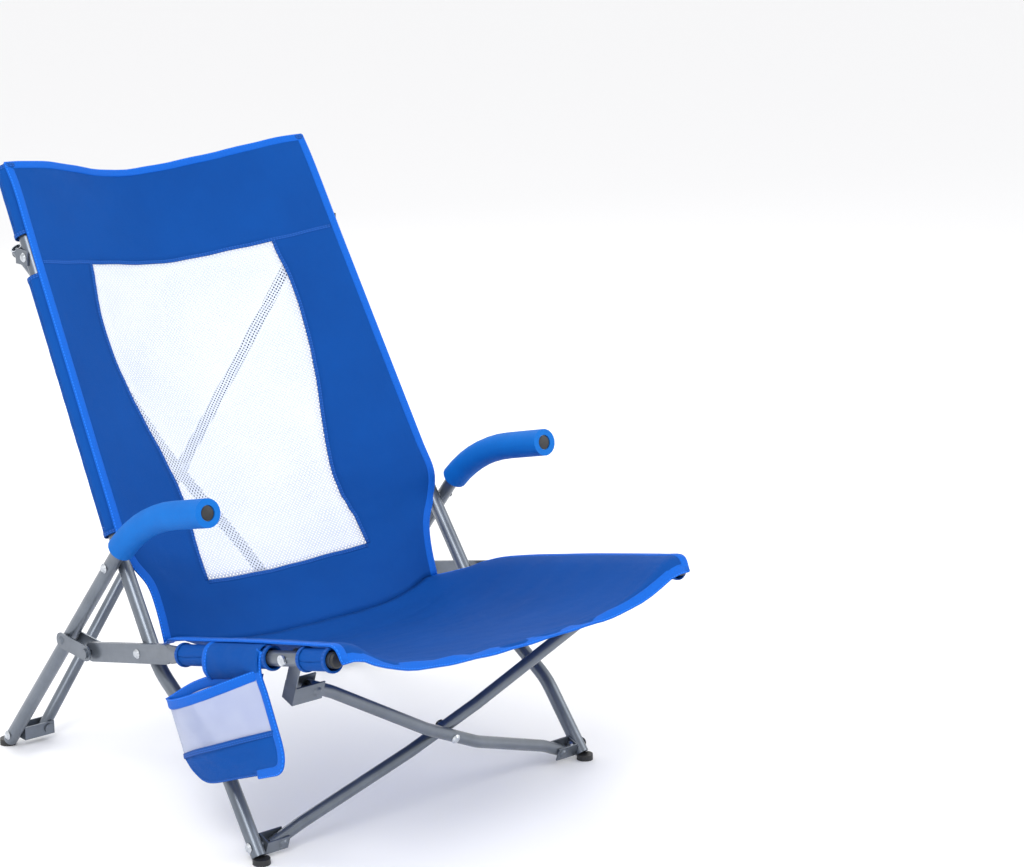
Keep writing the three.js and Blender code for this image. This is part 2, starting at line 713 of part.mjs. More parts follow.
addPair(
  "rivet_back_bracket",
  rivet(
    V(postX(backPivot.z) - saddleHalf - PLATE, backPivot.y, backPivot.z),
    V(postX(backPivot.z) + saddleHalf + PLATE, backPivot.y, backPivot.z),
  ),
  RIVET,
);

const rearMiddle = flipX(rearPinL).lerp(backPinL, crossShare(flipX(rearPinL), backPinL));
const rearFaceB = rearMiddle.clone().addScaledVector(BACKWARD, BACK_CROSS_JOG + R_CROSS - 0.6);
add("cross_rear_a", crossTube(flipX(rearPinL), backPinL, BACKWARD, V(0, 0, 0), 0), STEEL);
add(
  "cross_rear_b",
  join(
    crossTube(rearPinL, flipX(backPinL), BACKWARD, V(0, BACK_CROSS_JOG, 0), BEND_SPAN),
    headAt(rearFaceB, BACKWARD),
  ),
  STEEL,
);
add(
  "rivet_cross_rear",
  openRivet(
    rearMiddle.clone().addScaledVector(BACKWARD, R_CROSS),
    rearMiddle.clone().addScaledVector(BACKWARD, -R_CROSS),
  ),
  RIVET,
);

const rearWall = V(legX(REAR_PIN_Z) - R_FRAME - SIDE_GAP, rearPin.y, rearPin.z);
const rearReach = rearWall.x - rearPinX + 9;
const rearBracket = join(
  cut(channel(rearWall, LEFT_IN, V(0, 0, 1), 18, rearReach, -9, OPEN_GAP), drill(rearWall, X)),
  ...openPin(rearPinL, BACKWARD),
);
addPair("rear_foot_bracket", rearBracket, STEEL);
addPair(
  "rivet_rear_foot",
  rivet(
    rearWall.clone().addScaledVector(X, -PLATE),
    V(legX(REAR_PIN_Z) + R_FRAME, rearPin.y, rearPin.z),
  ),
  RIVET,
);

// ---------------------------------------------------------------- sling
// A sheet between two edges that lean with the side frames, hollowed along its middle.
const slingSheet = (lowPoint, highPoint, halfLow, halfHigh, sag, sagDir) => {
  const along = highPoint.clone().sub(lowPoint);
  const length = along.length();
  along.normalize();
  const columns = 12;
  const top = [];
  const bottom = [];
  for (let i = 0; i <= columns; i += 1) {
    const s = -1 + (2 * i) / columns;
    const d = -sag * Math.cos((Math.PI / 2) * s) ** 2;
    top.push(new THREE.Vector2(s, d + CLOTH / 2));
    bottom.unshift(new THREE.Vector2(s, d - CLOTH / 2));
  }
  const shape = new THREE.Shape([...bottom.reverse(), ...top.reverse()]);
  const geometry = new THREE.ExtrudeGeometry(shape, { depth: length, steps: 2, bevelEnabled: false });
  const p = geometry.getAttribute("position");
  for (let i = 0; i < p.count; i += 1) {
    const t = p.getZ(i) / length;
    const half = halfLow + (halfHigh - halfLow) * t;
    const point = lowPoint.clone().addScaledVector(along, p.getZ(i));
    point.addScaledVector(sagDir, -p.getY(i)).addScaledVector(X, p.getX(i) * half);
    p.setXYZ(i, point.x, point.y, point.z);
  }
  const solid = toSolid(geometry);
  const outward = solid.volume() >= 0 ? geometry : flip(geometry);
  outward.computeVertexNormals();
  return outward;
};

const postDir = V(0, POST_TOP_Y - PIVOT_Y, POST_TOP_Z - PIVOT_Z).normalize();
const postBehind = V(0, postDir.z, -postDir.y);
const SLEEVE_R = R_FRAME + SLEEVE_GAP + CLOTH;
const sheetInset = SLEEVE_R + 5.5;
const BACK_LOW_Z = 236;
const BACK_HIGH_Z = 782;
add(
  "back_sling",
  slingSheet(
    V(0, postY(BACK_LOW_Z), BACK_LOW_Z),
    V(0, postY(BACK_HIGH_Z), BACK_HIGH_Z),
    postX(BACK_LOW_Z) - sheetInset,
    postX(BACK_HIGH_Z) - sheetInset,
    BACK_SAG,
    postBehind,
  ),
  CANVAS,
);

const sleeveOn = (a, b) =>
  alongPath(ring(SLEEVE_R, R_FRAME + SLEEVE_GAP, 12, 12), new BentPath([a, b], 1));
const onPostAt = (z) => onPost(postY(z), z);
addPair("back_sleeve_top", sleeveOn(onPostAt(BACK_BRACKET_Z + 24), onPostAt(BACK_HIGH_Z)), CANVAS);
addPair(
  "back_sleeve_low",
  sleeveOn(onPostAt(PIVOT_Z + 34), onPostAt(BACK_BRACKET_Z - 24)),
  CANVAS,
);

const railBelow = V(0, railUp.y, railUp.z).multiplyScalar(-1);
const SEAT_BACK_Y = railPivot.y - 8;
const seatPoint = (y) => V(0, y, railY(y) + 3);
add(
  "seat_sling",
  slingSheet(
    seatPoint(SEAT_BACK_Y),
    seatPoint(RAIL_FRONT_Y + 6),
    postX(railY(SEAT_BACK_Y)) - R_FRAME - 6,
    legX(railY(RAIL_FRONT_Y)) - sheetInset,
    SEAT_SAG,
    railBelow,
  ),
  CANVAS,
);
const SLEEVE_CUT = 30; // room for the hanger, to each side of its pivot
addPair(
  "seat_sleeve_mid",
  sleeveOn(onRail(railRoundY - 3), onRail(RAIL_HANGER_Y + SLEEVE_CUT)),
  CANVAS,
);
addPair(
  "seat_sleeve_front",
  sleeveOn(onRail(RAIL_HANGER_Y - SLEEVE_CUT), onRail(RAIL_FRONT_Y + 3)),
  CANVAS,
);

// ---------------------------------------------------------------- cup pocket under the right rail
const pocket = (() => {
  const outline = (length, width, corner) => {
    const s = new THREE.Shape();
    const a = length / 2 - corner;
    const b = width / 2 - corner;
    s.absarc(a, b, corner, 0, Math.PI / 2, false);
    s.absarc(-a, b, corner, Math.PI / 2, Math.PI, false);
    s.absarc(-a, -b, corner, Math.PI, 1.5 * Math.PI, false);
    s.absarc(a, -b, corner, 1.5 * Math.PI, 2 * Math.PI, false);
    s.closePath();
    return s;
  };
  const grow = (shape, depth) =>
    new THREE.ExtrudeGeometry(shape, { depth, bevelEnabled: false, curveSegments: 4 });
  const outer = grow(outline(POCKET_LENGTH, POCKET_WIDTH, 20), POCKET_DEPTH);
  const inner = grow(outline(POCKET_LENGTH - 2 * CLOTH, POCKET_WIDTH - 2 * CLOTH, 18), POCKET_DEPTH);
  inner.translate(0, 0, CLOTH);
  const shell = cut(outer, inner);
  // length runs along the rail, width runs outwards, depth runs up
  const at = onRail(POCKET_MID_Y);
  const down = R_FRAME + SLEEVE_GAP + CLOTH + 2 + POCKET_DEPTH;
  const centreX = -(at.x + POCKET_OUT);
  const up = railUp.clone();
  const alongRail = V(0, railDir.y, railDir.z).normalize();
  const basis = new THREE.Matrix4().makeBasis(alongRail, up.clone().cross(alongRail), up);
  shell.applyMatrix4(basis);
  const place = V(centreX, at.y, at.z).addScaledVector(up, -down);
  return shell.translate(place.x, place.y, place.z);
})();
add("cup_pocket", pocket, CANVAS);

// ---------------------------------------------------------------- frame: bottom centre of the box
const box = new THREE.Box3().setFromObject(model);
const centre = box.getCenter(V(0, 0, 0));
model.position.set(-centre.x, -centre.y, -box.min.z);

export default model;
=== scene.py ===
import math

import bpy
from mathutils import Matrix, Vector


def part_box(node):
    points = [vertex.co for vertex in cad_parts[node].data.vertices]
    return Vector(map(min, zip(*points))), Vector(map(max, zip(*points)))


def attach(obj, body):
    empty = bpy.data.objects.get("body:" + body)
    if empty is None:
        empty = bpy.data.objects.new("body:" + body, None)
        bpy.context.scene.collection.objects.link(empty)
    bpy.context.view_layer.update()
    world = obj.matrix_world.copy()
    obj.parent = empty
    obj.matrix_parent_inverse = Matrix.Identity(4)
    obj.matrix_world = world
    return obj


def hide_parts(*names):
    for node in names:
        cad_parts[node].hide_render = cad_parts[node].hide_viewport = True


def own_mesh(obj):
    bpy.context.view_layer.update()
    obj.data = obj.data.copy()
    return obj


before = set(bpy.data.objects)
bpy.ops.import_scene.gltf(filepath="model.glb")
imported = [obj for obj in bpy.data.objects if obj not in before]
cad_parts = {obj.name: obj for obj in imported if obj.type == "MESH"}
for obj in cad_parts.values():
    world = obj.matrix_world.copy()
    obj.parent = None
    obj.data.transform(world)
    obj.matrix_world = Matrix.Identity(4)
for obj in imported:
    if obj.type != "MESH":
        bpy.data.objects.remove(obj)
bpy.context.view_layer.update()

# ---------------------------------------------------------------- shared frame
# Lengths below are in millimetres, with x from the chair's mirror plane, y from
# the source's own zero and z from the floor. place() moves them into model.glb's
# frame and turns them into metres.


def middle(node):
    lo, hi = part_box(node)
    return (lo + hi) / 2


FOOT_PIVOT_Y = -245.1  # the front foot's rivet in the source's y
foot_right = middle("rivet_foot_R")
foot_left = middle("rivet_foot_L")
MID_X = (foot_right.x + foot_left.x) / 2
SHIFT = Vector((MID_X, foot_right.y - FOOT_PIVOT_Y / 1000, 0))


def place(p):
    return Vector(p) / 1000 + SHIFT


HALF_FOOT = 266  # half width between the posts at the floor
LEAN = 0.04  # inward lean of a side frame, per unit of height
LAYER = 20.6  # from the post's plane out to the rail's
POST_Y, POST_Z, POST_SLOPE = 43.7, 306.8, 0.5983  # a point of the post, and its dy/dz
RAIL_Y, RAIL_Z, RAIL_SLOPE = -22.87, 210, 0.2294  # the same for the rail, dz/dy forward
POST_FORWARD = Vector((0, -0.8582, 0.5134))  # out of the back's front face
POST_UP = Vector((0, 0.5134, 0.8582))
RAIL_UP = Vector((0, 0.2236, 0.9747))
RAIL_ALONG = Vector((0, -0.9747, 0.2236))


def post_x(z):
    return HALF_FOOT - LEAN * z


def post_y(z):
    return POST_Y + POST_SLOPE * (z - POST_Z)


def rail_z(y):
    return RAIL_Z + RAIL_SLOPE * (RAIL_Y - y)


def rail_x(y):
    return post_x(rail_z(y)) + LAYER


# ---------------------------------------------------------------- camera
camera_data = bpy.data.cameras.new("camera")
camera = bpy.data.objects.new("camera", camera_data)
bpy.context.scene.collection.objects.link(camera)
camera.location = place((-1888.0, -2564.3, 1208.7))
camera.rotation_mode = "QUATERNION"
camera.rotation_quaternion = Vector((0.6414, 0.7306, -0.2341)).to_track_quat("-Z", "Y")
camera_data.sensor_width = 36
camera_data.lens = 87.64
camera_data.clip_start = 0.05
camera_data.clip_end = 50
bpy.context.scene.camera = camera


# ---------------------------------------------------------------- materials
class Nodes:
    """A material's node tree, with short calls for the nodes used here."""

    def __init__(self, name):
        self.material = bpy.data.materials.new(name)
        self.material.use_nodes = True
        self.tree = self.material.node_tree
        self.shader = self.tree.nodes["Principled BSDF"]

    def new(self, kind, **settings):
        node = self.tree.nodes.new("ShaderNode" + kind)
        for key, value in settings.items():
            setattr(node, key, value)
        return node

    def link(self, source, target):
        self.tree.links.new(source, target)

    def math(self, operation, a, b=0.0):
        node = self.new("Math", operation=operation)
        for socket, value in ((node.inputs[0], a), (node.inputs[1], b)):
            if isinstance(value, (int, float)):
                socket.default_value = value
            else:
                self.link(value, socket)
        return node.outputs[0]

    def coordinates(self, kind):
        if not hasattr(self, "source"):
            self.source = self.new("TexCoord")
        return self.source.outputs[kind]

    def noise(self, kind, scale, detail=3.0, rough=0.5, stretch=None):
        node = self.new("TexNoise")
        node.inputs["Scale"].default_value = scale
        node.inputs["Detail"].default_value = detail
        node.inputs["Roughness"].default_value = rough
        where = self.coordinates(kind)
        if stretch:
            mapping = self.new("Mapping")
            mapping.inputs["Scale"].default_value = stretch
            self.link(where, mapping.inputs["Vector"])
            where = mapping.outputs[0]
        self.link(where, node.inputs["Vector"])
        return node.outputs[0]

    def cells(self, kind, scale):
        node = self.new("TexVoronoi")
        node.inputs["Scale"].default_value = scale
        self.link(self.coordinates(kind), node.inputs["Vector"])
        return node.outputs["Distance"]

    def uv(self):
        if not hasattr(self, "split"):
            self.split = self.new("SeparateXYZ")
            self.link(self.coordinates("UV"), self.split.inputs[0])
        return self.split.outputs[0], self.split.outputs[1]

    def wave(self, value, period, phase=0.0):
        turn = self.math("MULTIPLY", value, 2 * math.pi / period)
        return self.math("SINE", self.math("ADD", turn, phase))

    def ramp(self, value, low, high, low_colour, high_colour):
        node = self.new("ValToRGB")
        node.color_ramp.elements[0].position = low
        node.color_ramp.elements[0].color = (*low_colour, 1)
        node.color_ramp.elements[1].position = high
        node.color_ramp.elements[1].color = (*high_colour, 1)
        self.link(value, node.inputs[0])
        return node.outputs[0]

    def mix(self, factor, a, b):
        node = self.new("Mix", data_type="RGBA")
        if isinstance(factor, float):
            node.inputs[0].default_value = factor
        else:
            self.link(factor, node.inputs[0])
        for socket, value in ((node.inputs[6], a), (node.inputs[7], b)):
            if isinstance(value, tuple):
                socket.default_value = (*value, 1)
            else:
                self.link(value, socket)
        return node.outputs[2]

    def set(self, **values):
        for key, value in values.items():
            socket = self.shader.inputs[key.replace("_", " ")]
            if isinstance(value, tuple) and len(value) == 3:
                value = (*value, 1)
            socket.default_value = value

    def colour(self, output):
        self.link(output, self.shader.inputs["Base Color"])

    def rough(self, value, low, high):
        node = self.new("MapRange")
        node.inputs["To Min"].default_value = low
        node.inputs["To Max"].default_value = high
        self.link(value, node.inputs["Value"])
        self.link(node.outputs[0], self.shader.inputs["Roughness"])

    def bump(self, *layers):
        """Each layer is (height, strength, distance in metres)."""
        last = None
        for height, strength, distance in layers:
            node = self.new("Bump")
            node.inputs["Strength"].default_value = strength
            node.inputs["Distance"].default_value = distance
            self.link(height, node.inputs["Height"])
            if last:
                self.link(last, node.inputs["Normal"])
            last = node.outputs[0]
        self.link(last, self.shader.inputs["Normal"])


def steel():
    m = Nodes("frame_steel")
    broad = m.noise("Object", 22, 4, 0.6)
    grain = m.noise("Object", 1600, 2, 0.6)
    scuff = m.noise("Object", 60, 6, 0.75, (1, 1, 6))
    base = m.ramp(broad, 0.3, 0.75, (0.118, 0.138, 0.168), (0.168, 0.192, 0.228))
    worn = m.ramp(scuff, 0.69, 0.76, (0, 0, 0), (1, 1, 1))
    m.colour(m.mix(worn, base, (0.32, 0.35, 0.39)))
    m.set(Metallic=0.65, Coat_Weight=0.35, Coat_Roughness=0.22)
    m.rough(grain, 0.26, 0.42)
    m.bump((grain, 0.12, 0.0002), (scuff, 0.05, 0.0004))
    return m.material


def rivet_metal():
    m = Nodes("rivet_steel")
    fine = m.noise("Object", 900, 3, 0.6)
    stain = m.noise("Object", 140, 4, 0.6)
    m.colour(m.ramp(stain, 0.35, 0.7, (0.42, 0.45, 0.49), (0.7, 0.73, 0.77)))
    m.set(Metallic=0.95)
    m.rough(fine, 0.2, 0.38)
    m.bump((fine, 0.15, 0.0002))
    return m.material


def plastic():
    m = Nodes("black_plastic")
    fine = m.noise("Object", 1300, 3, 0.6)
    dust = m.noise("Object", 45, 5, 0.6)
    m.colour(m.ramp(dust, 0.35, 0.8, (0.010, 0.011, 0.013), (0.030, 0.031, 0.034)))
    m.rough(fine, 0.42, 0.6)
    m.bump((fine, 0.3, 0.0003))
    return m.material


def foam():
    m = Nodes("grip_foam")
    pores = m.cells("Object", 1100)
    soft = m.noise("Object", 30, 3, 0.5)
    patch = m.ramp(soft, 0.3, 0.75, (0.0, 0.118, 0.47), (0.0, 0.150, 0.56))
    # painted shade: this ramp darkens the foam in its pores, where the pore bump is lowest
    painted_pore_shade = m.ramp(pores, 0.05, 0.45, (0.0, 0.085, 0.36), (0.0, 0.150, 0.56))
    m.colour(m.mix(0.45, patch, painted_pore_shade))
    m.set(Specular_IOR_Level=0.22)
    m.rough(pores, 0.6, 0.82)
    m.bump((pores, 0.35, 0.0004), (soft, 0.15, 0.003))
    return m.material


def weave(m, period):
    """Plain weave height: warp and weft threads passing over each other."""
    across, along = m.uv()
    warp = m.math("ABSOLUTE", m.wave(across, period))
    weft = m.math("ABSOLUTE", m.wave(along, period))
    turn = m.math("MULTIPLY", m.wave(across, 2 * period), m.wave(along, 2 * period))
    over = m.math("GREATER_THAN", turn, 0)
    under = m.math("SUBTRACT", 1.0, over)
    first = m.math("MULTIPLY", warp, over)
    return m.math("ADD", first, m.math("MULTIPLY", weft, under))


def canvas(name, dark, light):
    m = Nodes(name)
    height = weave(m, 0.0009)
    slub = m.noise("UV", 420, 3, 0.6, (1, 0.12, 1))
    broad = m.noise("UV", 7, 4, 0.55)
    pucker = m.noise("UV", 16, 3, 0.5, (1, 0.55, 1))
    cloth = m.ramp(broad, 0.3, 0.72, dark, light)
    # painted shade: this ramp darkens the cloth in the dips between threads, where the weave bump is
    # low
    painted_weave_shade = m.ramp(height, 0.05, 0.9, tuple(0.72 * c for c in dark), light)
    m.colour(m.mix(0.4, cloth, painted_weave_shade))
    m.set(Sheen_Weight=0.03, Sheen_Tint=(0.1, 0.35, 1.0), Specular_IOR_Level=0.14)
    m.rough(slub, 0.62, 0.82)
    m.bump((height, 0.35, 0.00025), (slub, 0.2, 0.0003), (pucker, 0.35, 0.006))
    return m.material


def tape(name, dark, light, lines):
    """Ribbed edge tape. lines are the places across it, in metres, of its stitch rows."""
    m = Nodes(name)
    across, along = m.uv()
    ribs = m.math("ABSOLUTE", m.wave(along, 0.0018))
    fine = m.noise("UV", 500, 3, 0.6)
    cloth = m.ramp(fine, 0.3, 0.75, dark, light)
    stitch = None
    for at in lines:
        offset = m.math("ABSOLUTE", m.math("SUBTRACT", across, at))
        near = m.math("LESS_THAN", offset, 0.00045)
        dash = m.math("GREATER_THAN", m.wave(along, 0.0042), -0.25)
        row = m.math("MULTIPLY", near, dash)
        stitch = row if stitch is None else m.math("MAXIMUM", stitch, row)
    m.colour(m.mix(stitch, cloth, tuple(min(1.0, 1.5 * c + 0.02) for c in light)))
    m.set(Specular_IOR_Level=0.2)
    m.rough(fine, 0.55, 0.75)
    m.bump((ribs, 0.3, 0.0003), (stitch, 0.6, 0.0006))
    return m.material


def netting(name, period, hole, colour, shade, see_through=0.0):
    """Knitted mesh with staggered holes; period is twice the pitch of the holes."""
    m = Nodes(name)
    across, along = m.uv()
    product = m.math("MULTIPLY", m.wave(across, period), m.wave(along, period))
    wobble = m.math("MULTIPLY", m.math("SUBTRACT", m.noise("UV", 300, 2), 0.5), 0.25)
    field = m.math("ADD", product, wobble)
    solid = m.math("LESS_THAN", field, hole)
    alpha = m.math("MULTIPLY", solid, 1.0 - see_through)
    rib = m.math("SUBTRACT", 1.0, m.math("ABSOLUTE", product))
    broad = m.noise("UV", 9, 3, 0.5)
    m.colour(m.mix(m.ramp(broad, 0.35, 0.7, (0, 0, 0), (1, 1, 1)), shade, colour))
    m.link(alpha, m.shader.inputs["Alpha"])
    m.set(Specular_IOR_Level=0.3, Sheen_Weight=0.1)
    m.rough(rib, 0.5, 0.75)
    m.bump((rib, 0.4, 0.0005))
    return m.material


BLUE_DARK = (0.0, 0.052, 0.262)
BLUE_LIGHT = (0.0, 0.070, 0.340)
TAPE_DARK = (0.0, 0.092, 0.49)
TAPE_LIGHT = (0.0, 0.128, 0.62)
STEEL = steel()
RIVET = rivet_metal()
PLASTIC = plastic()
FOAM = foam()
CANVAS = canvas("sling_fabric", BLUE_DARK, BLUE_LIGHT)
SLEEVE = canvas("sleeve_fabric", (0.0, 0.056, 0.285), (0.0, 0.080, 0.38))
BINDING = tape("binding_tape", TAPE_DARK, TAPE_LIGHT, (0.0015, 0.0135))
SEAM = tape("seam_tape", BLUE_DARK, BLUE_LIGHT, (0.0016, 0.0040))
NET = netting("white_mesh", 0.0056, 0.30, (0.70, 0.75, 0.86), (0.62, 0.68, 0.81))
WINDOW = netting("pocket_mesh", 0.0026, 0.45, (0.60, 0.65, 0.82), (0.46, 0.52, 0.74), 0.35)


def finish_of(name):
    if name.startswith("rivet"):
        return RIVET
    if name.startswith("grip"):
        return FOAM
    if "plug" in name or name.startswith(("front_foot", "rear_foot_R", "rear_foot_L")):
        return PLASTIC
    return STEEL


SHARP_ANGLE = 34  # degrees between faces that keeps an edge of a CAD node crisp
for name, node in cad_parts.items():
    node.data.materials.clear()
    node.data.materials.append(finish_of(name))
    for polygon in node.data.polygons:
        polygon.use_smooth = True
    weld = node.modifiers.new("weld", "WELD")
    weld.merge_threshold = 0.00002
    split = node.modifiers.new("split", "EDGE_SPLIT")
    split.split_angle = math.radians(SHARP_ANGLE)


# ---------------------------------------------------------------- geometry
def curve_at(points, t):
    """Catmull-Rom through the points, with t from 0 to the last point's index."""
    last = len(points) - 1
    i = min(int(t), last - 1)
    f = t - i
    p1 = Vector(points[i])
    p2 = Vector(points[i + 1])
    p0 = Vector(points[i - 1]) if i > 0 else 2 * p1 - p2
    p3 = Vector(points[i + 2]) if i + 2 <= last else 2 * p2 - p1
    a = 2 * p1
    b = (p2 - p0) * f
    c = (2 * p0 - 5 * p1 + 4 * p2 - p3) * f * f
    d = (3 * p1 - p0 - 3 * p2 + p3) * f * f * f
    return (a + b + c + d) / 2


def sampled(points, count):
    last = len(points) - 1
    return [curve_at(points, last * i / (count - 1)) for i in range(count)]


def mesh_piece(name, points, faces, uvs, material):
    mesh = bpy.data.meshes.new(name)
    mesh.from_pydata([place(p) for p in points], [], faces)
    layer = mesh.uv_layers.new(name="UVMap")
    for loop in mesh.loops:
        u, v = uvs[loop.vertex_index]
        layer.data[loop.index].uv = (u / 1000, v / 1000)
    for polygon in mesh.polygons:
        polygon.use_smooth = True
    mesh.materials.append(material)
    mesh.validate()
    piece = bpy.data.objects.new(name, mesh)
    bpy.context.scene.collection.objects.link(piece)
    return piece


def grid_piece(name, rows, material, skip=None, thick=1.2):
    """A sheet through rows of points, thickened; skip(i, j) leaves a face out."""
    points, uvs, faces = [], [], []
    width = len(rows[0])
    along = 0.0
    centre = width // 2
    for i, row in enumerate(rows):
        if i:
            along += (row[centre] - rows[i - 1][centre]).length
        across = [0.0]
        for j in range(1, width):
            across.append(across[-1] + (row[j] - row[j - 1]).length)
        for j, point in enumerate(row):
            points.append(point)
            uvs.append((across[j] - across[centre], along))
    for i in range(len(rows) - 1):
        for j in range(width - 1):
            if skip and skip(i, j):
                continue
            a = i * width + j
            faces.append((a, a + 1, a + width + 1, a + width))
    piece = mesh_piece(name, points, faces, uvs, material)
    body = piece.modifiers.new("thickness", "SOLIDIFY")
    body.thickness = thick / 1000
    body.offset = 0
    return piece


def band_piece(name, path, sides, width, thick, material, closed=False, rounding=0.62):
    """A tape of rounded section along path; sides gives the direction across it."""
    ring = 12
    points, uvs, faces = [], [], []
    count = len(path)
    along = 0.0
    for i, point in enumerate(path):
        if i:
            along += (point - path[i - 1]).length
        before = path[i - 1] if i or closed else path[i]
        after = path[(i + 1) % count] if i + 1 < count or closed else path[i]
        tangent = (after - before).normalized()
        side = Vector(sides[i] if isinstance(sides, list) else sides)
        side = (side - tangent * side.dot(tangent)).normalized()
        normal = tangent.cross(side)
        for k in range(ring):
            turn = 2 * math.pi * k / ring
            c, s = math.cos(turn), math.sin(turn)
            across = math.copysign(abs(c) ** rounding, c) * width / 2
            up = math.copysign(abs(s) ** rounding, s) * thick / 2
            points.append(point + side * across + normal * up)
            uvs.append((across + width / 2, along))
    runs = count if closed else count - 1
    for i in range(runs):
        for k in range(ring):
            a, b = i * ring + k, i * ring + (k + 1) % ring
            c = ((i + 1) % count) * ring + (k + 1) % ring
            d = ((i + 1) % count) * ring + k
            faces.append((a, b, c, d))
    if not closed:
        faces.append(tuple(range(ring))[::-1])
        faces.append(tuple((count - 1) * ring + k for k in range(ring)))
    return mesh_piece(name, points, faces, uvs, material)


def ripple(a, b, size):
    """A small smooth unevenness of cloth, without a random source."""
    wave = math.sin(a * 3.1 + 1.3 * math.sin(b * 2.3)) + math.sin(b * 4.7 + a * 1.9)
    return size * (wave + 0.6 * math.sin(a * 9.1 - b * 6.3)) / 2.6


# ---------------------------------------------------------------- sling surface
# Each station is the edge point (half width, y, z), the middle (y, z) and how
# square the cross section is: 0 is a slack curve, 1 hangs flat between its edges.
def back_station(z, forward, sag, square=0.0):
    edge = Vector((post_x(z) + 5, post_y(z), z)) + POST_FORWARD * forward
    low = Vector((0, post_y(z), z)) - POST_FORWARD * sag
    return (edge.x, edge.y, edge.z), (low.y, low.z), square


BACK = [
    ((241, 318, 789), (380, 754), 0.0),
    back_station(752, 16, 60, 0.1),
    back_station(706, 16, 50, 0.2),
    back_station(658, 15, 42, 0.3),
    back_station(600, 15, 54, 0.3),
    back_station(540, 15, 60, 0.3),
    back_station(480, 15, 54, 0.3),
    back_station(420, 15, 46, 0.35),
    back_station(370, 15, 40, 0.5),
    back_station(334, 15, 35, 0.7),
    ((248, 37.5, 309), (66, 292), 0.8),
    ((231, 26, 280), (40, 257), 0.9),
    ((225, 15, 247), (12, 221), 0.9),
    ((224, 0.6, 206), (-22, 191), 0.85),
]
SEAT = [
    ((224, 0.6, 206), (-22, 191), 0.85),
    ((247, -42, 222), (-62, 184), 0.85),
    ((268, -80, 240), (-100, 188), 0.88),
    ((276, -140, 256), (-150, 199), 0.9),
    ((277, -200, 270), (-205, 212), 0.92),
    ((277, -260, 284), (-262, 226), 0.94),
    ((277, -329, 299), (-330, 241), 0.97),
    ((277, -395, 313), (-394, 256), 1.0),
    ((277, -426, 318), (-420, 263), 1.0),
    ((275, -439, 302), (-433, 262), 1.0),
]
MESH_TOP = 3  # stations of the white mesh panel
MESH_LOW = 11
MESH_HALF = [147, 147, 147, 147, 157, 156, 146, 131, 122, 124, 129, 131, 131, 131]


def section(station_edge, station_mid, square, x):
    u = min(1.0, abs(x) / station_edge.x)
    slack = math.sin(math.pi / 2 * u) ** 2
    flat = min(1.0, abs(x) / (station_edge.x - 26 * square)) ** 4
    share = slack + (flat - slack) * square
    y = station_mid.x + (station_edge.y - station_mid.x) * share
    z = station_mid.y + (station_edge.z - station_mid.y) * share
    return Vector((x, y, z))


def station(stations, t):
    edge = curve_at([s[0] for s in stations], t)
    mid = curve_at([(s[1][0], s[1][1], 0) for s in stations], t)
    square = curve_at([(s[2], 0, 0) for s in stations], t).x
    return edge, mid, square


SEAT_HALF = 131  # half width of the seat's middle columns, as at the back's last row
SEAT_SEED = 22.1  # carries the back's ripple on into the seat
OUTER = 9  # columns from the edge to the mesh panel
INNER = 18  # columns across the mesh panel


def sling_row(stations, t, half, seed):
    edge, mid, square = station(stations, t)
    xs = []
    for k in range(OUTER):
        xs.append(-edge.x + (edge.x - half) * k / OUTER)
    for k in range(INNER + 1):
        xs.append(-half + 2 * half * k / INNER)
    for k in range(1, OUTER + 1):
        xs.append(half + (edge.x - half) * k / OUTER)
    row = []
    for x in xs:
        point = section(edge, mid, square, x)
        hold = 1 - (abs(x) / edge.x) ** 6
        point.z += hold * ripple(x / 90, t * 1.7 + seed, 1.6)
        row.append(point)
    return row


def half_at(t):
    return curve_at([(h, 0, 0) for h in MESH_HALF], t).x


STEP = 5  # rows between two stations
back_rows = []
for i in range((len(BACK) - 1) * STEP + 1):
    back_rows.append(sling_row(BACK, i / STEP, half_at(i / STEP), 0))
seat_rows = []
for i in range((len(SEAT) - 1) * STEP + 1):
    seat_rows.append(sling_row(SEAT, i / STEP, SEAT_HALF, SEAT_SEED))
seat_rows[0] = [p.copy() for p in back_rows[-1]]


def in_mesh(i, j):
    rows = MESH_TOP * STEP <= i < MESH_LOW * STEP
    return rows and OUTER <= j < OUTER + INNER


def on_back(piece):
    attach(piece, "right_post")
    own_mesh(piece)


def on_seat(piece, squash=True):
    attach(piece, "right_rail")
    if squash:
        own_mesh(piece)


back_cloth = grid_piece("sling_back_cloth", back_rows, CANVAS, in_mesh)
seat_cloth = grid_piece("sling_seat_cloth", seat_rows, CANVAS)
mesh_rows = []
for i in range(MESH_TOP * STEP, MESH_LOW * STEP + 1):
    mesh_rows.append(back_rows[i][OUTER : OUTER + INNER + 1])
back_mesh = grid_piece("sling_back_mesh", mesh_rows, NET, thick=0.5)


def facing(rows, i, j):
    """The sheet's front-facing direction at a grid point."""
    i0, i1 = max(i - 1, 0), min(i + 1, len(rows) - 1)
    j0, j1 = max(j - 1, 0), min(j + 1, len(rows[0]) - 1)
    down = rows[i1][j] - rows[i0][j]
    across = rows[i][j1] - rows[i][j0]
    return across.cross(down).normalized() * -1


def edge_band(name, rows, cells, step, form, inset, lift=0.0):
    """A tape along grid cells; step leads to the next cell towards the cloth."""
    width, thick, material = form
    path, sides = [], []
    for i, j in cells:
        side = (rows[i + step[0]][j + step[1]] - rows[i][j]).normalized()
        path.append(rows[i][j] + side * inset + facing(rows, i, j) * lift)
        sides.append(side)
    return band_piece(name, path, sides, width, thick, material)


SIDE_TAPE = (12, 3.4, BINDING)  # width, thickness, material
TOP_TAPE = (11, 3.4, BINDING)
FRONT_TAPE = (13, 3.6, BINDING)
SEAM_TAPE = (5.6, 1.4, SEAM)
SEAM_INSET = 2.4
SEAM_LIFT = 0.5
LAST = len(back_rows[0]) - 1
BACK_END = len(back_rows) - 1
SEAT_END = len(seat_rows) - 1


def column(j, first, last):
    return [(i, j) for i in range(first, last + 1)]


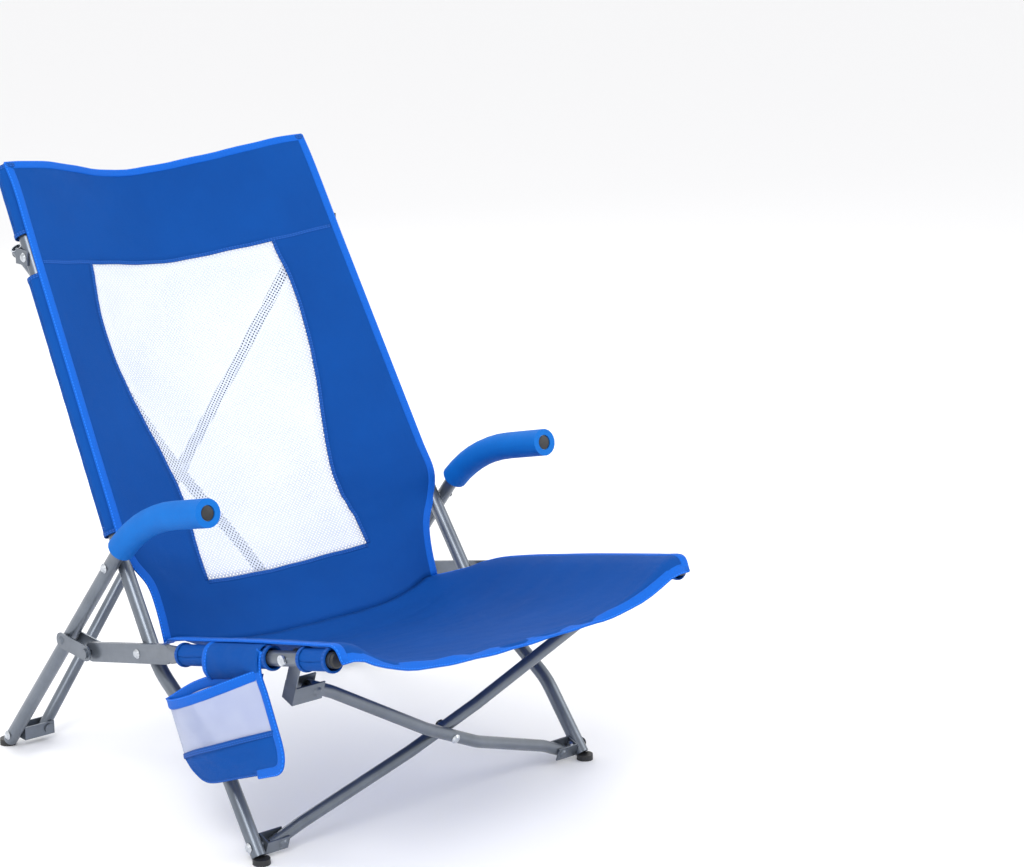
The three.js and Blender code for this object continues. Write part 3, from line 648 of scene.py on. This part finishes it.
def row_cells(i, first, last):
    return [(i, j) for j in range(first, last + 1)]


def seam(name, cells, step):
    return edge_band(name, back_rows, cells, step, SEAM_TAPE, SEAM_INSET, SEAM_LIFT)


back_pieces, seat_pieces = [], []
for tag, j, step in (("R", 0, (0, 1)), ("L", LAST, (0, -1))):
    cells = column(j, 0, BACK_END)
    back_pieces.append(edge_band("binding_back_" + tag, back_rows, cells, step, SIDE_TAPE, 4.0))
    cells = column(j, 0, SEAT_END)
    seat_pieces.append(edge_band("binding_seat_" + tag, seat_rows, cells, step, SIDE_TAPE, 4.0))
cells = row_cells(0, 0, LAST)
back_pieces.append(edge_band("binding_back_top", back_rows, cells, (1, 0), TOP_TAPE, 3.5))
cells = row_cells(SEAT_END, 0, LAST)
seat_pieces.append(edge_band("binding_seat_front", seat_rows, cells, (-1, 0), FRONT_TAPE, 4.5))

# seams of the back panel
TOP_ROW = MESH_TOP * STEP
LOW_ROW = MESH_LOW * STEP
back_pieces.append(seam("seam_band", row_cells(TOP_ROW, 1, LAST - 1), (-1, 0)))
back_pieces.append(seam("seam_mesh_low", row_cells(LOW_ROW, OUTER, OUTER + INNER), (1, 0)))
for tag, j, step in (("R", OUTER, (0, -1)), ("L", OUTER + INNER, (0, 1))):
    back_pieces.append(seam("seam_mesh_" + tag, column(j, TOP_ROW, LOW_ROW), step))


# ---------------------------------------------------------------- sleeves
def sleeve(name, start, end, side, normal, radii, seed):
    """A sewn tube of cloth round a straight tube, open at both ends."""
    ring, steps = 28, 30
    radius_side, radius_normal = radii
    points, uvs, faces = [], [], []
    length = (end - start).length
    for i in range(steps + 1):
        f = i / steps
        centre = start + (end - start) * f
        for k in range(ring + 1):
            turn = 2 * math.pi * k / ring
            swell = 1 + ripple(k * 0.9 + seed, f * length / 34, 0.035)
            mouth = 1 + 0.05 * (math.exp(-f * length / 5) + math.exp((f - 1) * length / 5))
            grow = swell * mouth
            c = math.cos(turn) * radius_side * grow
            s = math.sin(turn) * radius_normal * grow
            points.append(centre + side * c + normal * s)
            uvs.append((turn * radius_side, f * length))
    for i in range(steps):
        for k in range(ring):
            a = i * (ring + 1) + k
            faces.append((a, a + 1, a + ring + 2, a + ring + 1))
    piece = mesh_piece(name, points, faces, uvs, SLEEVE)
    weld = piece.modifiers.new("weld", "WELD")
    weld.merge_threshold = 0.00001
    body = piece.modifiers.new("thickness", "SOLIDIFY")
    body.thickness = 0.001
    body.offset = 1
    return piece


def hem_ring(name, centre, side, normal, along, radii):
    radius_side, radius_normal = radii
    path, sides = [], []
    for k in range(28):
        turn = 2 * math.pi * k / 28
        out = side * math.cos(turn) * radius_side + normal * math.sin(turn) * radius_normal
        path.append(centre + out)
        sides.append(along)
    return band_piece(name, path, sides, 6, 1.6, SEAM, closed=True)


def model_z(node, end):
    return (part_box(node)[end].z - SHIFT.z) * 1000


def model_y(node, end):
    return (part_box(node)[end].y - SHIFT.y) * 1000


HEM_INSET = 3  # from a sleeve's end to the middle of its hem


def add_sleeve(node, name, ends, out, normal, radii, seed, hems, body):
    """A sleeve with a hem at both ends; hems is (normal, along, shift way, radii)."""
    piece = sleeve(name, ends[0], ends[1], out, normal, radii, seed)
    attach(piece, body)
    hem_normal, along, way, hem_radii = hems
    for k, point in enumerate(ends):
        shift = way * (HEM_INSET if k == 0 else -HEM_INSET)
        hem = hem_ring(f"hem_{node}_{k}", point + shift, out, hem_normal, along, hem_radii)
        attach(hem, body)
    return piece


SLEEVES = {}
for tag, sign, half in (("R", -1, "right"), ("L", 1, "left")):
    out = Vector((sign, 0, 0))
    for part in ("top", "low"):
        node = f"back_sleeve_{part}_{tag}"
        ends = []
        for end, trim in ((0, 6.5), (1, -6.5)):
            z = model_z(node, end) + trim
            ends.append(Vector((sign * post_x(z), post_y(z), z)))
        seed = 3 if sign > 0 else 7
        hems = (POST_FORWARD, POST_UP, POST_UP, (13.6, 14.6))
        name = f"sleeve_back_{part}_{tag}"
        SLEEVES[node] = add_sleeve(
            node, name, ends, out, POST_FORWARD, (12.4, 13.4), seed, hems, half + "_post"
        )
    for part in ("mid", "front"):
        node = f"seat_sleeve_{part}_{tag}"
        ends = []
        for end, trim in ((1, -3), (0, 3)):
            y = model_y(node, end) + trim
            ends.append(Vector((sign * rail_x(y), y, rail_z(y))))
        seed = 5 if sign > 0 else 2
        hems = (RAIL_UP, RAIL_ALONG, RAIL_ALONG, (13.6, 14.4))
        name = f"sleeve_seat_{part}_{tag}"
        SLEEVES[node] = add_sleeve(
            node, name, ends, out, RAIL_UP, (12.4, 13.2), seed, hems, half + "_rail"
        )
for node, piece in SLEEVES.items():
    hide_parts(node)


# ---------------------------------------------------------------- cup pocket
RIM_FRONT = [
    (-287, -98, 172), (-305, -135, 184), (-314, -190, 207),
    (-306, -248, 236), (-287, -290, 258),
]
RIM_BACK = [
    (-287, -98, 172), (-281, -145, 203), (-280, -195, 226),
    (-281, -250, 244), (-285, -290, 258),
]
BAND_FRONT = [
    (-296, -146, 113), (-308, -188, 133), (-312, -234, 153),
    (-305, -280, 173), (-291, -328, 193),
]
BAND_BACK = [
    (-296, -146, 113), (-285, -190, 138), (-283, -234, 157),
    (-284, -280, 175), (-290, -328, 193),
]
FOLD = [
    (-296, -148, 111), (-299, -172, 101), (-300, -204, 98),
    (-300, -262, 120), (-297, -341, 151),
]
SIDE_FRONT = [(-287, -290, 258), (-287, -303, 236), (-289, -318, 212), (-291, -328, 193)]


def panel(name, top, low, right, material, bulge, thick=0.8):
    rows = []
    for i in range(13):
        d = i / 12
        row = []
        for j in range(25):
            a = j / 24
            p = curve_at(top, a * 4) * (1 - d) + curve_at(low, a * 4) * d
            if right:
                straight = Vector(top[-1]) * (1 - d) + Vector(low[-1]) * d
                p += (curve_at(right, d * (len(right) - 1)) - straight) * a**3
            soft = math.sin(math.pi * d) * math.sin(math.pi * a)
            p.x -= bulge * soft
            p.x += ripple(a * 5 + len(name), d * 4, 1.6) * soft
            row.append(p)
        rows.append(row)
    return grid_piece(name, rows, material, thick=thick)


pocket_front = panel("pocket_window_front", RIM_FRONT, BAND_FRONT, SIDE_FRONT, WINDOW, 2)
pocket_back = panel("pocket_window_back", RIM_BACK, BAND_BACK, SIDE_FRONT, WINDOW, -1)
band_side = [BAND_FRONT[-1], (-293, -341, 176), (-297, -349, 162), FOLD[-1]]
band_front = panel("pocket_band_front", BAND_FRONT, FOLD, band_side, SLEEVE, 1, 1.4)
band_back = panel("pocket_band_back", BAND_BACK, FOLD, band_side, SLEEVE, -1, 1.4)

rim = sampled(RIM_FRONT, 30) + sampled(RIM_BACK, 30)[::-1][1:-1]
rim_down = Vector((0, -0.28, -0.96))
rim_path = [p + rim_down * 5 for p in rim]
rim_sides = [rim_down] * len(rim)
pocket_rim = band_piece("pocket_rim", rim_path, rim_sides, 13, 4.2, BINDING, closed=True)
side_path = [
    (-287, -296, 284), (-288, -292, 268), (-288, -294, 252), (-289, -307, 232),
    (-291, -325, 202), (-294, -341, 178), (-297, -347, 162), (-298, -341, 152),
    (-299, -325, 145), (-300, -305, 137),
]
side_points = sampled(side_path, 60)
pocket_middle = Vector((-294, -230, 190))
inwards = [pocket_middle - p for p in side_points]
pocket_side = band_piece("pocket_side_tape", side_points, inwards, 12, 3.6, BINDING)
UPRIGHT = Vector((0, 0, 1))
seam_points = [p + Vector((-1.5, 0, 0)) for p in sampled(BAND_FRONT, 30)]
pocket_seam = band_piece("pocket_band_seam", seam_points, UPRIGHT, 7, 1.8, SEAM)
fold_points = sampled(FOLD, 30)
pocket_fold = band_piece("pocket_fold_seam", fold_points, UPRIGHT, 4, 3, SEAM)


def strap_row(y, drop):
    z = rail_z(y)
    x = rail_x(y)
    points = [
        (-x + 7, y, z + 15.5),
        (-x - 3, y, z + 16.5),
        (-x - 11, y, z + 12.5),
        (-x - 15, y, z + 4),
        (-x - 15.5, y, z - 6),
        (-x - 13, y + 1, z - 17),
        (-284, y + 2, min(z - 26, drop + 6)),
        (-282, y + 2, drop),
    ]
    return sampled(points, 28)


strap_rows = []
for i in range(25):
    f = i / 24
    y = -188 - 108 * f
    drop = curve_at(RIM_BACK, 1.9 + 2.1 * f).z - 4
    strap_rows.append([p + Vector((ripple(f * 6, p.z / 30, 0.7), 0, 0)) for p in strap_row(y, drop)])
pocket_strap = grid_piece("pocket_strap", strap_rows, SLEEVE, thick=1.4)
strap_side = Vector((0, 1, 0))
strap_left = band_piece("pocket_strap_tape", strap_rows[0], strap_side, 9, 3.0, BINDING)
pocket_all = [pocket_front, pocket_back, band_front, band_back, pocket_rim, pocket_side]
pocket_all += [pocket_seam, pocket_fold, pocket_strap, strap_left]
for piece in pocket_all:
    on_seat(piece, squash=False)

for piece in [back_cloth, back_mesh] + back_pieces:
    on_back(piece)
for piece in [seat_cloth] + seat_pieces:
    on_seat(piece)
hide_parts("back_sling")
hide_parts("seat_sling")
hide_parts("cup_pocket")


# ---------------------------------------------------------------- floor and light
def plane(name, size, material):
    mesh = bpy.data.meshes.new(name)
    h = size / 2
    mesh.from_pydata([(-h, -h, 0), (h, -h, 0), (h, h, 0), (-h, h, 0)], [], [(0, 1, 2, 3)])
    mesh.materials.append(material)
    piece = bpy.data.objects.new(name, mesh)
    bpy.context.scene.collection.objects.link(piece)
    return piece


ground = Nodes("floor")
ground.set(Base_Color=(0.93, 0.93, 0.94), Roughness=0.9, Specular_IOR_Level=0.1)
FLOOR_SIZE = 400  # metres, so that its edge stays out of view
plane("floor", FLOOR_SIZE, ground.material)

world = bpy.data.worlds.new("studio")
bpy.context.scene.world = world
world.use_nodes = True
background = world.node_tree.nodes["Background"]
background.inputs[0].default_value = (1.0, 1.0, 1.0, 1)
background.inputs[1].default_value = 1.0


def softbox(name, position, target, size, power):
    data = bpy.data.lights.new(name, "AREA")
    data.shape = "RECTANGLE"
    data.size, data.size_y = size
    data.energy = power
    lamp = bpy.data.objects.new(name, data)
    bpy.context.scene.collection.objects.link(lamp)
    lamp.location = position
    lamp.rotation_mode = "QUATERNION"
    lamp.rotation_quaternion = (Vector(target) - Vector(position)).to_track_quat("-Z", "Y")


softbox("key", (-2.2, -1.6, 2.8), (0, 0, 0.4), (1.6, 1.6), 62)
softbox("fill", (2.4, -2.2, 1.8), (0, 0, 0.4), (2.2, 1.6), 30)
softbox("rim", (0.6, 2.8, 2.4), (0, 0, 0.4), (2.4, 1.0), 35)
bpy.context.scene.view_settings.view_transform = "Standard"
